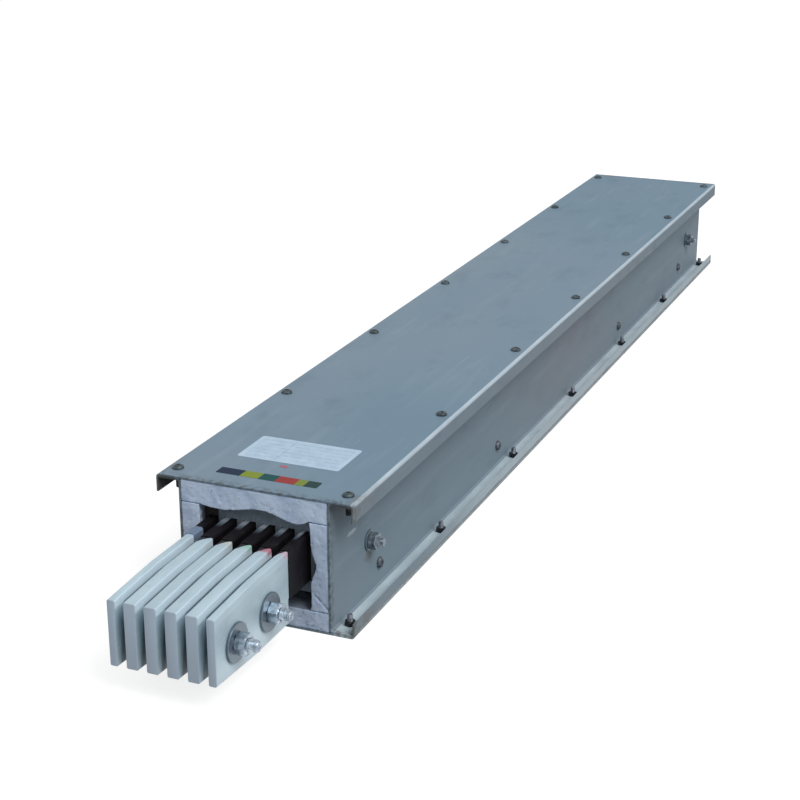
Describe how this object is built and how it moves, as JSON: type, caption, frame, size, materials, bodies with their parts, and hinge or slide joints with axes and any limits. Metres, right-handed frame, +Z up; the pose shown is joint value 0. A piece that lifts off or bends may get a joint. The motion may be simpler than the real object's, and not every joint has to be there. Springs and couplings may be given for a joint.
{
  "type": "busway section",
  "caption": "Straight fire-resistant busway section: folded sheet housing lined with board, six flat bars with bared ends and two joint bolts.",
  "frame": {"origin": "middle of the whole length and width, on the floor that the bottom cover stands on", "axes": "+Z up; +Y along the section, from the end with the bared bars towards the far end; +X to the right as seen from the bared end, the side of the joint nuts"},
  "size_m": [0.213, 1.679, 0.1446],
  "materials": {
    "galvanised_housing": "satin",
    "fire_board": "matte",
    "support_laminate": "matte",
    "tinned_bar": "satin",
    "black_sleeve": "satin",
    "joint_steel": "satin",
    "insulator": "matte",
    "screw_steel": "satin",
    "dark_nut": "satin"
  },
  "bodies": {
    "root": {"top_cover": "galvanised_housing", "bottom_cover": "galvanised_housing", "side_plate_left": "galvanised_housing", "side_plate_right": "galvanised_housing", "lining_top": "fire_board", "lining_bottom": "fire_board", "lining_left": "fire_board", "lining_right": "fire_board", "bar_support_near": "support_laminate", "bar_support_far": "support_laminate", "busbar_1": "tinned_bar", "busbar_2": "tinned_bar", "busbar_3": "tinned_bar", "busbar_4": "tinned_bar", "busbar_5": "tinned_bar", "busbar_6": "tinned_bar", "bar_sleeve_1": "black_sleeve", "bar_sleeve_2": "black_sleeve", "bar_sleeve_3": "black_sleeve", "bar_sleeve_4": "black_sleeve", "bar_sleeve_5": "black_sleeve", "bar_sleeve_6": "black_sleeve", "joint_bolts": "joint_steel", "joint_washers": "joint_steel", "joint_nuts": "joint_steel", "joint_bolt_tubes": "insulator", "joint_spacers": "insulator", "cover_screws": "screw_steel", "base_studs": "screw_steel", "web_screws": "screw_steel", "end_bolts": "screw_steel", "end_washers": "screw_steel", "end_nuts": "screw_steel", "cover_nuts": "dark_nut", "base_nuts": "dark_nut"}
  },
  "joints": []
}
